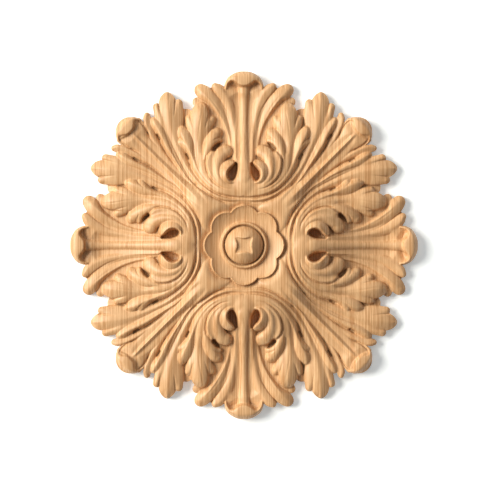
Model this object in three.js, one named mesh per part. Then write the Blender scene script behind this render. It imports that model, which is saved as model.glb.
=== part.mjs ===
// A round carved wooden rosette with a flat back, as fixed to a wall or a ceiling.
// The face is one carved relief: a domed button, a flower of eight round petals, a star shaped
// body, and eight leaves that end in rolled over tips, with curling side leaves between them.
// The face looks along -Y, up is +Z, and the back lies in the plane Y = 0.
import * as THREE from "three";

// Driving sizes in millimetres
const DIAMETER = 348;
const EDGE_THICKNESS = 7;
const CROWN_HEIGHT = 26.4;
const BUTTON_DIAMETER = 37.6;
const BUTTON_RISE = 10;
const BUTTON_FOOT = 4;
const SINKING_WIDTH = 18.2;
const SINKING_BOW = 2.6;
const SINKING_BEVEL = 0.8;
const SINKING_DEPTH = 5;
const GROOVE_WIDTH = 1;
const GROOVE_DEPTH = 4;
const RING_WIDTH = 3.8;
const RING_RISE = 4;
const FLOWER_DIAMETER = 80;
const FLOWER_FLOOR = 27;
const FLOWER_RISE = 6;
const RIM_WIDTH = 1.8;
const RIM_RISE = 0.7;
const PETAL_COUNT = 8;
const PETAL_RADIUS = 16;
const FLOWER_SOFTNESS = 0.5;
const DISH_POWER = 1.7;
const BOW_POWER = 1.5;
const RING_POWER = 4;
const MOAT_WIDTH = 9;
const MOAT_DEPTH = 4;

// How finely the faceted solid follows the carving
const FACET_POINTS = 500;
const OUTLINE_TOLERANCE = 0.45;
const WALK_STEP = 0.5;
const WALK_SWEEP = 2.2;
const WALK_TURN = 0.25;
const SAMPLE_STEP = 1;
const RIM_MARGIN = 1.2;
const LARGEST_ERROR = 2;
const SMALLEST_ERROR = 0.05;
const BATCH_SHARE = 1 / 12;

// Disc that closes the ground under the roots of the leaves
const BODY_RADIUS = 76;
const BODY_HEIGHT = 25.2;
const BODY_SINK = 4.5;

// Height of the dome that the leaves lie on, by distance from the centre
const DOME = [
  [0, 30], [50, 30], [60, 29.3], [70, 26.3], [80, 22.4], [90, 18.6], [100, 15.4], [110, 12.9],
  [120, 11.1], [130, 9.8], [140, 8.7], [150, 7.4], [160, 6.0], [180, 3.6],
];

// The leaves are drawn on an eighth of the round, between the upright and the diagonal, and
// are scaled from there. Each lobe follows a crest. A place on the crest gives its position
// across and up, its reach to the left and to the right, and its height. Fall is the drop from
// the crest to the left and right edge, power rounds the section, and soft is how far the lobe
// melts into what lies beside it.
const GROUND = [
  { name: "under the side leaf", power: 2, soft: 1, fall: [0.5, 0.5],
    crest: [[10, 72, 9, 6, 22], [14, 84, 9, 9, 15], [20, 97, 9, 12, 8.6], [27, 112, 10, 14, 4.4],
      [36, 126, 10, 12, 2.4], [41, 138, 9, 9, 0.6]] },
  { name: "between the leaves", power: 2, soft: 1, fall: [1, 2.4],
    crest: [[30, 60, 7, 7, 22], [43, 78, 7, 7, 15], [50, 96, 8, 8, 8.4], [54, 112, 9, 9, 3.2],
      [57, 122, 8.5, 8.6, 1.8], [58, 129, 7.8, 7.6, 1.4]] },
  { name: "under the diagonal leaf", power: 2, soft: 1, fall: [0.5, 0.5],
    crest: [[50, 66, 6, 4, 16], [62, 82, 9, 7, 7], [75, 100, 10, 9, 3], [88, 116, 9, 11, 1.5]] },
  { name: "beside the upright leaf", power: 2, soft: 1, fall: [0.6, 0.6],
    crest: [[9, 96, 4, 5, 12], [13, 120, 6, 6, 3.4], [20, 140, 8, 8, 0.6], [28, 151, 8.5, 8.5, 0.6]] },
];

const UPRIGHT_LEAF = [
  { name: "base", power: 2, soft: 1, fall: [2, 2],
    crest: [[0, 49, 22, 22, 27], [0, 56, 22, 22, 29.2], [0, 64, 13, 13, 30.9], [0, 70, 7.4, 7.4, 30.2]] },
  { name: "trough", power: 3, soft: 1, fall: [-1.2, -1.2],
    crest: [[0, 70, 4.6, 4.6, 25.4], [0, 78, 6, 6, 23.4], [0, 86, 8.6, 8.6, 19.4], [0, 100, 9, 9, 12.6],
      [0, 110, 9.4, 9.4, 8.2], [0, 120, 9.8, 9.8, 4.8], [0, 130, 10.6, 10.6, 2],
      [0, 140, 12.6, 12.6, 0.2], [0, 148, 15.4, 15.4, -0.2], [0, 155, 18.4, 18.4, 2]] },
  { name: "midrib", power: 2.4, soft: 0.6, fall: [3.6, 3.6],
    crest: [[0, 62, 13, 13, 30.4], [0, 67, 8.6, 8.6, 30.8], [0, 74, 6.6, 6.6, 28.6],
      [0, 82, 5.4, 5.4, 24.8], [0, 92, 4.8, 4.8, 20], [0, 110, 4.4, 4.4, 11.6],
      [0, 130, 4.4, 4.4, 5.2], [0, 145, 4.8, 4.8, 3.8], [0, 154, 5.4, 5.4, 6.2], [0, 163, 6, 6, 10]] },
  { name: "inner finger", power: 1.5, soft: 0.5, fall: [2.4, 2.2],
    crest: [[8.6, 86, 2.6, 3, 18.4], [9, 100, 2.6, 3.4, 12], [9.8, 115, 3, 4, 7.2],
      [12, 130, 3.6, 5, 4.8], [14.8, 140, 4.6, 6.4, 4.2], [18.6, 149.6, 4.6, 8, 4.5],
      [23.8, 156.4, 4, 7, 5], [28.4, 159.2, 3, 4.2, 4.6]] },
  { name: "outer finger", power: 1.7, soft: 0.4, fall: [3.2, 4.6],
    crest: [[12.4, 90, 3, 1.6, 14.6], [14, 102, 3.6, 1.9, 9.6], [16.4, 112, 4.4, 2.1, 7.2],
      [20, 122, 5.4, 2.2, 5.6], [25, 131.4, 6.6, 2.4, 5.4], [30.4, 139.6, 7.8, 2.7, 6.2],
      [36, 147, 8.6, 3.8, 6.6], [40.6, 152, 8, 6.4, 5.4], [43.4, 155.2, 6.4, 6.4, 3.6]] },
  { name: "small lobe beside the outer finger", power: 2, soft: 0.5, fall: [1.5, 1.5],
    crest: [[34, 136, 5, 6, 1.6], [41, 140.6, 5.6, 6.4, 1.6], [47, 143.8, 4.4, 4.6, 0.8]] },
  { name: "rolled over tip", power: 2.2, soft: 0.3, fall: [6.6, 1],
    crest: [[-5, 167.5, 5.8, 5.8, 11], [0, 167.2, 6.5, 8, 11.2], [5, 167.5, 5.8, 5.8, 11],
      [9.6, 167, 4.4, 3, 10.2], [14, 165.2, 3.2, 1.6, 8.4], [17.4, 161.2, 1.9, 1.4, 6.4],
      [18.4, 156.6, 1.3, 1.2, 4.8]] },
];

const SIDE_LEAF = [
  { name: "root", power: 2, soft: 1, fall: [1, 1],
    crest: [[4, 56, 8, 8, 29], [20, 58, 7, 7, 29.2], [33, 66, 6, 6, 24.2], [41, 80, 6, 6, 18.6],
      [46, 94, 5, 5, 13]] },
  { name: "outer lobe", power: 1.7, soft: 0.5, fall: [3.6, 4.4],
    crest: [[6, 50.6, 2, 2.4, 28.4], [22, 52.8, 2.8, 3.2, 29.4], [31, 57.2, 2.8, 3.6, 27.6],
      [37.4, 62.8, 2.8, 4.2, 24.8], [43, 70.2, 3, 4.8, 21.4], [47.6, 78.4, 3, 5, 18],
      [51, 86.6, 3, 3.4, 16], [54.2, 94, 4.8, 2.8, 15], [57.4, 101, 6.8, 4.4, 14.4],
      [60.2, 107.6, 7.2, 4.4, 13.4], [62, 112.6, 5.8, 4.4, 11.8], [62.4, 115.2, 4.4, 3.8, 10.2]] },
  { name: "outer lobe tooth", power: 1.8, soft: 0.6, fall: [2, 2.4],
    crest: [[55.4, 95.6, 4, 2.6, 13.4], [59.4, 99.8, 3.8, 2.8, 12.2], [62.8, 102.8, 3, 3, 10.8]] },
  { name: "tall lobe", power: 1.6, soft: 0.6, fall: [3.8, 4.8],
    crest: [[14, 54, 3, 3, 28.4], [24, 57, 3.8, 3.6, 29], [33, 62.4, 4.8, 4.4, 26],
      [39.6, 70.4, 6, 5, 22.4], [42.8, 80, 6.4, 5.6, 19.4], [44.4, 90, 6.4, 6, 16.2],
      [45.6, 100, 6.4, 6.4, 13.4], [45.6, 109, 9, 8.4, 12.8], [45, 117, 10.4, 9.8, 13.2],
      [44.2, 124, 9.4, 9.8, 13], [43.6, 130.6, 8, 9.6, 11.8], [43.4, 135.2, 6.8, 7.4, 10],
      [43.2, 138.2, 4, 4.8, 7.8]] },
  { name: "tall lobe inner tooth", power: 1.8, soft: 0.7, fall: [2.8, 2.6],
    crest: [[42, 111, 5, 5, 11], [37, 119.4, 5.4, 5, 10.2], [32.4, 125.6, 3.9, 3.7, 7.8]] },
  { name: "tall lobe outer tooth", power: 1.8, soft: 0.7, fall: [2.6, 2.8],
    crest: [[48, 111, 4.6, 5.4, 11.4], [52, 119.4, 5, 5.2, 10.4], [54.8, 126, 4.1, 3.9, 8]] },
  { name: "root of the second lobe", power: 2, soft: 1, fall: [2.4, 0.8],
    crest: [[33.4, 66, 1.8, 4, 24.2], [37.8, 73, 2.2, 5, 22], [40, 80, 2.8, 5.4, 20],
      [40.6, 88, 3.4, 5, 17.6]] },
  { name: "second lobe", power: 2.1, soft: 0.6, fall: [4, 4.6],
    crest: [[39.4, 86, 2.6, 2.6, 19], [37.2, 95, 5.4, 4.6, 18], [33.4, 103.6, 7, 6.4, 15.8],
      [29.8, 109.6, 6.4, 6.2, 13.2], [27.2, 112.2, 5.2, 5, 11]] },
  { name: "second lobe tooth", power: 2, soft: 0.6, fall: [1.8, 1.8],
    crest: [[32, 101, 4, 4, 15], [28, 103.6, 3.2, 2.8, 13.2], [24.4, 104.8, 2.4, 2.2, 11.2]] },
  { name: "bed of the curl", power: 2, soft: 1, fall: [1.4, 1],
    crest: [[16, 58, 4, 3, 29.4], [24, 63, 6, 4, 28.8], [30, 72, 7, 5.4, 26.2], [31.4, 81, 7.4, 5.4, 23.6],
      [30, 87.6, 6, 4.8, 21.2]] },
  { name: "curl, outer leaf", power: 1.4, soft: 0.6, fall: [1.7, 4.4],
    crest: [[12, 57, 2, 1.6, 28], [22, 59.6, 3, 2.2, 29.6], [29.6, 65, 3.6, 2.2, 28],
      [34.6, 73, 4, 2, 25.8], [36.4, 81, 4.4, 1.8, 23.8], [35.4, 87.6, 4.4, 1.8, 21.8],
      [32.4, 91.6, 3, 1.6, 20.4]] },
  { name: "curl, middle leaf", power: 2, soft: 0.5, fall: [4.4, 1.9],
    crest: [[13, 59.6, 2, 2, 27.6], [20, 61.8, 3.2, 3, 29.8], [25.8, 69, 4, 3, 29.4],
      [27.6, 77, 5.4, 3, 27.2], [26.2, 85, 6.4, 4.2, 24.6], [22, 91, 6.6, 6.2, 21.4],
      [18.4, 93, 6.4, 6.4, 19.6]] },
  { name: "curl, inner leaf", power: 1.7, soft: 0.3, fall: [2.6, 5],
    crest: [[10.4, 62, 1.4, 2, 29], [13.8, 62.6, 1.6, 2.8, 31], [16.6, 65.6, 1.4, 4.6, 32.4],
      [17.8, 70, 1.2, 6.4, 32.8], [17, 74, 1.2, 7.2, 32.2], [14.4, 77.6, 1.3, 6.8, 30.6],
      [11.8, 80, 1.4, 4.8, 28.6], [10.6, 81.6, 1, 2.4, 26.6]] },
];

const DIAGONAL_LEAF = [
  { name: "star body", power: 5, soft: 0.6, fall: [3, 3],
    crest: [[20, 20, 18, 18, 27.6], [26, 26, 16.6, 16.6, 28.8], [31.5, 31.5, 14.8, 14.8, 29.4],
      [38, 38, 11.4, 11.4, 29.8], [46.5, 46.5, 8.8, 8.8, 29.2], [53, 53, 7, 7, 25.2],
      [58, 58, 5, 5, 20.6]] },
  { name: "midrib", power: 1.5, soft: 0.8, fall: [4.6, 4.6],
    crest: [[44, 44, 8.6, 8.6, 29.2], [50, 50, 8.2, 8.2, 27.8], [55.5, 55.5, 7.6, 7.6, 24.4],
      [60, 60, 7.3, 7.3, 21.2], [65, 65, 7.5, 7.5, 18], [71, 71, 8.3, 8.3, 14.9],
      [76.5, 76.5, 9.1, 9.1, 12.7], [82, 82, 9.8, 9.8, 11.1], [88, 88, 10.2, 10.2, 9.9],
      [95, 95, 10, 10, 9], [102, 102, 10.2, 10.2, 8.6], [106, 106, 11.2, 11.2, 8.8],
      [110, 110, 13, 13, 9.6], [114, 114, 14, 14, 10.8]] },
  { name: "tall lobe", power: 1.4, soft: 0.5, fall: [4, 4.2],
    crest: [[-6, 44.6, 1.9, 1.9, 27.6], [0, 44.6, 1.9, 1.9, 27.6], [12, 44.9, 2.2, 2, 28.2],
      [20, 46.2, 2.6, 2.6, 28.8], [28.4, 49.3, 2.7, 2.7, 28], [37, 54.8, 2.9, 3, 25],
      [44, 60.8, 3.4, 3.4, 21.2], [51, 69, 4, 3.8, 17], [57, 77.8, 4.8, 4.4, 13.2],
      [62.2, 88, 6, 4.8, 10.8], [67.2, 100, 7.8, 6, 9.4], [71.6, 112, 10, 7.6, 8.8],
      [74.2, 123, 11.6, 9.6, 8.8], [75.6, 134, 11.6, 9.8, 8], [76.6, 142.4, 9, 8.6, 5.8],
      [77, 147, 6.2, 6, 4], [77, 150.4, 3.2, 3.2, 2.6], [77, 152.4, 1, 1, 1.6]] },
  { name: "tall lobe left tooth", power: 1.8, soft: 0.7, fall: [2.8, 2.4],
    crest: [[70, 114, 8, 8, 7], [66.6, 128, 6.6, 6, 6.4], [65.3, 142.2, 3.9, 4.1, 4]] },
  { name: "tall lobe right tooth", power: 1.8, soft: 0.7, fall: [2.6, 3],
    crest: [[78, 112, 6.6, 6, 6.8], [83.6, 126, 6, 4.8, 6.6], [87.4, 138, 4.4, 3.8, 4.6]] },
  { name: "second lobe", power: 1.6, soft: 0.5, fall: [4.2, 4],
    crest: [[43, 53.4, 1.4, 1.6, 23.4], [48, 57.4, 1.8, 2, 22.2], [53, 62.4, 2.2, 2.4, 19.6],
      [58, 68.4, 2.8, 2.8, 16.8], [63, 75.8, 3.6, 3, 13.8], [68.4, 84.8, 4.8, 3.2, 11.8],
      [73.2, 92.4, 5.6, 3.6, 10.8], [78.4, 101, 6.4, 3.4, 10.4], [82.2, 109, 6.2, 3, 10],
      [86, 116.6, 6.4, 3.6, 9.2], [88.8, 121.4, 5.6, 4.2, 8.2], [90.2, 124.2, 4.2, 4, 6.8]] },
  { name: "third lobe", power: 1.6, soft: 0.6, fall: [3, 2],
    crest: [[80, 91, 2.4, 2.4, 6.4], [87, 101, 4, 2.8, 6], [92.4, 109, 5, 1.8, 6],
      [95.8, 116, 5.4, 1.6, 5.8], [98.2, 122, 5.8, 1.6, 5.6], [98.8, 127, 5.8, 1.8, 5],
      [97.4, 130, 3.4, 2.6, 3.8]] },
  { name: "rim beside the midrib", power: 1.8, soft: 0.5, fall: [2, 2],
    crest: [[97.2, 114, 1.2, 1, 5], [100, 119.4, 1.3, 1.1, 5.2], [102.6, 122.8, 1.8, 1.3, 5.6],
      [105.4, 125, 2.4, 1.8, 5.8]] },
  { name: "rolled over tip", power: 2.2, soft: 0.3, fall: [1, 6.6],
    crest: [[121.6, 115.4, 5.2, 5.4, 12.2], [118.2, 118.2, 7.4, 6.4, 12.6], [115.4, 121.6, 5.4, 5.2, 12.2],
      [112, 124.8, 3, 3.4, 10.8], [108.6, 125.8, 1.8, 2.2, 9], [105, 124.6, 1.3, 1.8, 7.2],
      [102.2, 121.6, 1, 1.4, 6.2]] },
];

// Holes and slits cut deep beside the lobes, with the height of their floor
const HOLLOWS = [
  { name: "eye of the curl",
    path: [[12.2, 67.2, 2.8, 2.8, 12], [12, 69.8, 3.8, 3.8, 11], [11, 73, 3.8, 3.6, 11],
      [9.4, 76.8, 2.6, 2.2, 12], [8, 81, 1.6, 1.2, 14]] },
  { name: "slit over the curl",
    path: [[24, 102.2, 0.8, 0.8, 5], [27, 99.2, 1.8, 1.8, 4], [30.4, 95.6, 1.6, 1.6, 5]] },
  { name: "slit below the outer lobe",
    path: [[55.6, 88.6, 1.2, 1.2, 8], [57, 91.2, 1.4, 1.4, 8], [60.4, 95.4, 0.9, 0.9, 7.8],
      [65, 99, 0.6, 0.6, 7]] },
  { name: "eye beside the second lobe",
    path: [[83.6, 105.8, 1.2, 1.2, 1.6], [85.2, 108.4, 1.6, 1.6, 1.4], [88.4, 113, 1.2, 1.2, 1.8],
      [92, 117.6, 0.8, 0.8, 2.2]] },
];

const WALL_SLOPE = 5;
const WALL_ROOM = 1.35;
const HOLLOW_LIP = 0.6;
const CURVE_STEPS = 10;
const SHARPEST_REACH = 0.3;
const DOME_STEP = 2;
const DOME_BLEND = 4;
const FAR_BELOW = -99;

// Straight line through a list of [at, value] pairs
function alongList(list, at) {
  for (let i = 1; i < list.length; i++) {
    if (at <= list[i][0]) {
      const share = (at - list[i - 1][0]) / (list[i][0] - list[i - 1][0]);
      return THREE.MathUtils.lerp(list[i - 1][1], list[i][1], Math.max(share, 0));
    }
  }
  return list[list.length - 1][1];
}

// The dome with its corners rounded off by averaging over a short stretch
function domeHeight(distance) {
  let sum = 0;
  let weights = 0;
  for (let k = -DOME_BLEND; k <= DOME_BLEND; k++) {
    const weight = DOME_BLEND + 1 - Math.abs(k);
    sum += weight * alongList(DOME, Math.abs(distance + DOME_STEP * k));
    weights += weight;
  }
  return sum / weights;
}

// The crest as a smooth curve through its places, cut into short steps
function smoothCrest(places) {
  const first = places[0].map((value, i) => 2 * value - places[1][i]);
  const final = places[places.length - 1].map((value, i) => 2 * value - places[places.length - 2][i]);
  const all = [first, ...places, final];
  const curve = [];
  for (let i = 1; i < all.length - 2; i++) {
    for (let step = 0; step < CURVE_STEPS; step++) {
      const t = step / CURVE_STEPS;
      curve.push(all[i].map((value, k) => {
        const [a, b, c, d] = [all[i - 1][k], value, all[i + 1][k], all[i + 2][k]];
        const square = 2 * a - 5 * b + 4 * c - d;
        const cube = 3 * b - a - 3 * c + d;
        return 0.5 * (2 * b + (c - a) * t + square * t ** 2 + cube * t ** 3);
      }));
    }
  }
  curve.push(places[places.length - 1]);
  return curve;
}

function prepare(places) {
  const curve = smoothCrest(places).map(([u, v, left, right, height]) => ({
    u,
    v,
    left: Math.max(left, SHARPEST_REACH),
    right: Math.max(right, SHARPEST_REACH),
    rise: height - domeHeight(Math.hypot(u, v)),
  }));
  const widest = WALL_ROOM * Math.max(...curve.map((place) => Math.max(place.left, place.right))) + 1;
  return {
    curve,
    minU: Math.min(...curve.map((place) => place.u)) - widest,
    maxU: Math.max(...curve.map((place) => place.u)) + widest,
    minV: Math.min(...curve.map((place) => place.v)) - widest,
    maxV: Math.max(...curve.map((place) => place.v)) + widest,
  };
}

// Where a point lies on a lobe: its distance from the crest as a share of the reach there,
// the reach, the rise of the crest, and how far it is on the left side
function placeOn(lobe, u, v) {
  if (u < lobe.minU || u > lobe.maxU || v < lobe.minV || v > lobe.maxV) {
    return null;
  }
  let best = null;
  for (let i = 0; i < lobe.curve.length - 1; i++) {
    const a = lobe.curve[i];
    const b = lobe.curve[i + 1];
    const du = b.u - a.u;
    const dv = b.v - a.v;
    const length = Math.max(Math.hypot(du, dv), 1e-6);
    const t = THREE.MathUtils.clamp(((u - a.u) * du + (v - a.v) * dv) / length ** 2, 0, 1);
    const offU = u - a.u - t * du;
    const offV = v - a.v - t * dv;
    const distance = Math.hypot(offU, offV);
    const sine = (du * offV - dv * offU) / (length * Math.max(distance, 1e-6));
    const leftness = 0.5 + 0.5 * THREE.MathUtils.clamp(sine, -1, 1);
    const left = THREE.MathUtils.lerp(a.left, b.left, t);
    const right = THREE.MathUtils.lerp(a.right, b.right, t);
    const reach = leftness * left + (1 - leftness) * right;
    const share = distance / reach;
    if (!best || share < best.share) {
      best = { share, reach, leftness, rise: THREE.MathUtils.lerp(a.rise, b.rise, t) };
    }
  }
  return best;
}

// The higher of two heights, with the corner between them rounded
function melt(a, b, soft) {
  const overlap = Math.max(soft - Math.abs(a - b), 0) / soft;
  return Math.max(a, b) + overlap * overlap * soft / 4;
}

const drawn = [...GROUND, ...UPRIGHT_LEAF, ...SIDE_LEAF, ...DIAGONAL_LEAF];
const lobes = drawn.map((lobe) => ({ ...lobe, ...prepare(lobe.crest) }));
const hollows = HOLLOWS.map((hollow) => prepare(hollow.path));

// Drawn height of the leaves at a drawn point, and how far inside the outline it lies
function leafHeight(u, v) {
  const distance = Math.hypot(u, v);
  const dome = domeHeight(distance);
  let height = distance < BODY_RADIUS ? Math.min(BODY_HEIGHT, dome - BODY_SINK) : FAR_BELOW;
  let inside = BODY_RADIUS - distance;
  for (const lobe of lobes) {
    const place = placeOn(lobe, u, v);
    if (place) {
      const fall = place.leftness * lobe.fall[0] + (1 - place.leftness) * lobe.fall[1];
      const drop = fall * Math.min(place.share, 1) ** lobe.power;
      const wall = WALL_SLOPE * place.reach * Math.max(place.share - 1, 0);
      height = melt(height, dome + place.rise - drop - wall, lobe.soft);
      inside = Math.max(inside, (1 - place.share) * place.reach);
    }
  }
  for (const hollow of hollows) {
    const place = placeOn(hollow, u, v);
    if (place) {
      const out = (place.share - 1) * place.reach;
      height = Math.min(height, dome + place.rise + WALL_SLOPE * Math.max(out + HOLLOW_LIP, 0));
    }
  }
  return { height, inside };
}

const buttonRadius = BUTTON_DIAMETER / 2;
const buttonTop = FLOWER_FLOOR + BUTTON_FOOT + BUTTON_RISE;
const ringStart = buttonRadius + GROOVE_WIDTH;
const ringEnd = ringStart + RING_WIDTH;
const petalCentre = FLOWER_DIAMETER / 2 - PETAL_RADIUS;

function petalInset(x, z) {
  const step = 2 * Math.PI / PETAL_COUNT;
  const angle = Math.atan2(z, x);
  const off = angle - Math.round(angle / step) * step;
  const distance = Math.hypot(x, z);
  if (distance < petalCentre) {
    return PETAL_RADIUS;
  }
  return PETAL_RADIUS - Math.hypot(distance * Math.cos(off) - petalCentre, distance * Math.sin(off));
}

function buttonHeight(x, z) {
  const share = Math.hypot(x, z) / buttonRadius;
  const dome = buttonTop - BUTTON_RISE * share * share;
  const long = Math.max(Math.abs(x), Math.abs(z));
  const short = Math.min(Math.abs(x), Math.abs(z));
  const half = SINKING_WIDTH / 2;
  const bowed = half - SINKING_BOW * (1 - (short / half) ** BOW_POWER);
  if (long < bowed) {
    return Math.min(dome, buttonTop - SINKING_DEPTH + Math.max(SINKING_BEVEL - bowed + long, 0));
  }
  return dome;
}

function flowerHeight(x, z, inset) {
  const distance = Math.hypot(x, z);
  if (distance < buttonRadius) {
    return buttonHeight(x, z);
  }
  if (distance < ringStart) {
    return FLOWER_FLOOR + BUTTON_FOOT - GROOVE_DEPTH;
  }
  const outward = Math.max((distance - ringEnd) / (FLOWER_DIAMETER / 2 - ringEnd), 0);
  const dish = FLOWER_FLOOR + FLOWER_RISE * outward ** DISH_POWER;
  const acrossRim = Math.min(2 * inset / RIM_WIDTH - 1, 1);
  const acrossRing = 2 * (distance - ringStart) / RING_WIDTH - 1;
  const ring = FLOWER_FLOOR + RING_RISE * (1 - acrossRing ** RING_POWER);
  return melt(dish + RIM_RISE * (1 - acrossRim ** 2), ring, FLOWER_SOFTNESS);
}

// The drawing is scaled so that the rolled over tip of the upright leaf reaches the diameter
// and the crown of the dome reaches its height
const tip = UPRIGHT_LEAF[UPRIGHT_LEAF.length - 1].crest[1];
const drawnScale = DIAMETER / 2 / (tip[1] + tip[2]);
const heightScale = CROWN_HEIGHT / DOME[0][1];

// Height of the face over the back at a point of the round, in millimetres, and how far the
// point lies inside the outline
function surface(x, z) {
  const u = Math.min(Math.abs(x), Math.abs(z)) / drawnScale;
  const v = Math.max(Math.abs(x), Math.abs(z)) / drawnScale;
  const inset = petalInset(x, z);
  if (inset > 0 && Math.hypot(x, z) < FLOWER_DIAMETER / 2) {
    return { height: flowerHeight(x, z, inset), inside: FLOWER_DIAMETER };
  }
  const leaf = leafHeight(u, v);
  let height = EDGE_THICKNESS + leaf.height * heightScale;
  if (Math.hypot(x, z) < FLOWER_DIAMETER) {
    height -= MOAT_DEPTH * Math.max(1 + inset / MOAT_WIDTH, 0) ** 2;
  }
  return { height, inside: leaf.inside * drawnScale };
}

// The outline of one eighth, walked in short steps from the upright to the diagonal with the
// wood on the right hand side
function walkOutline() {
  const step = WALK_STEP;
  const mostSteps = 5 * DIAMETER / step;
  const isInside = (x, z) => surface(x, z).inside > 0;
  let low = 0;
  let high = DIAMETER;
  while (high - low > 0.001) {
    const middle = (low + high) / 2;
    if (isInside(0, middle)) {
      low = middle;
    } else {
      high = middle;
    }
  }
  const outline = [[0, low]];
  let heading = 0;
  let [x, z] = outline[0];
  while (x < z && outline.length < mostSteps) {
    let outside = heading + WALK_SWEEP;
    let inner = outside;
    while (!isInside(x + step * Math.cos(inner), z + step * Math.sin(inner))) {
      outside = inner;
      inner -= WALK_TURN;
    }
    for (let k = 0; k < 8; k++) {
      const middle = (outside + inner) / 2;
      if (isInside(x + step * Math.cos(middle), z + step * Math.sin(middle))) {
        inner = middle;
      } else {
        outside = middle;
      }
    }
    heading = inner;
    x = Math.max(x + step * Math.cos(heading), 0);
    z += step * Math.sin(heading);
    outline.push([x, z]);
  }
  const [beforeX, beforeZ] = outline[outline.length - 2];
  const t = (beforeZ - beforeX) / (beforeZ - beforeX + x - z);
  const onDiagonal = (beforeX + t * (x - beforeX) + beforeZ + t * (z - beforeZ)) / 2;
  outline[outline.length - 1] = [onDiagonal, onDiagonal];
  return outline;
}

function distanceToLine(point, from, to) {
  const [alongX, alongZ] = [to[0] - from[0], to[1] - from[1]];
  const [offX, offZ] = [point[0] - from[0], point[1] - from[1]];
  return Math.abs(alongX * offZ - alongZ * offX) / Math.hypot(alongX, alongZ);
}

// Keeps only the points that the outline needs to stay within the tolerance
function thinOut(points, tolerance) {
  let worst = 0;
  let worstAt = 0;
  const last = points.length - 1;
  for (let i = 1; i < last; i++) {
    const off = distanceToLine(points[i], points[0], points[last]);
    if (off > worst) {
      worst = off;
      worstAt = i;
    }
  }
  if (worst <= tolerance) {
    return [points[0], points[last]];
  }
  const before = thinOut(points.slice(0, worstAt + 1), tolerance);
  const after = thinOut(points.slice(worstAt), tolerance);
  return [...before.slice(0, -1), ...after];
}

function isWithin(polygon, x, z) {
  let within = false;
  for (let i = 0, j = polygon.length - 1; i < polygon.length; j = i++) {
    const [ax, az] = polygon[i];
    const [bx, bz] = polygon[j];
    if (az > z !== bz > z && x < (bx - ax) * (z - az) / (bz - az) + ax) {
      within = !within;
    }
  }
  return within;
}

// A net of triangles that takes points one at a time and keeps its triangles as round as it can
class Net {
  constructor(size) {
    this.points = [[-size * 3, -size * 2], [size * 4, -size * 2], [0, size * 5]];
    this.triangles = [];
    this.addTriangle(0, 1, 2);
  }

  addTriangle(a, b, c) {
    const [ax, az] = this.points[a];
    const [bx, bz] = this.points[b];
    const [cx, cz] = this.points[c];
    const area = 2 * (ax * (bz - cz) + bx * (cz - az) + cx * (az - bz));
    const squareA = ax * ax + az * az;
    const squareB = bx * bx + bz * bz;
    const squareC = cx * cx + cz * cz;
    const x = (squareA * (bz - cz) + squareB * (cz - az) + squareC * (az - bz)) / area;
    const z = (squareA * (cx - bx) + squareB * (ax - cx) + squareC * (bx - ax)) / area;
    this.triangles.push({ corners: [a, b, c], x, z, square: (ax - x) ** 2 + (az - z) ** 2 });
  }

  insert(point) {
    const [x, z] = point;
    const index = this.points.length;
    this.points.push(point);
    const kept = [];
    const edges = new Map();
    for (const triangle of this.triangles) {
      if ((x - triangle.x) ** 2 + (z - triangle.z) ** 2 >= triangle.square * (1 - 1e-12)) {
        kept.push(triangle);
        continue;
      }
      const [a, b, c] = triangle.corners;
      for (const [from, to] of [[a, b], [b, c], [c, a]]) {
        if (!edges.delete(`${to} ${from}`)) {
          edges.set(`${from} ${to}`, [from, to]);
        }
      }
    }
    this.triangles = kept;
    for (const [from, to] of edges.values()) {
      this.addTriangle(from, to, index);
    }
    return index;
  }
}

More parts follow.
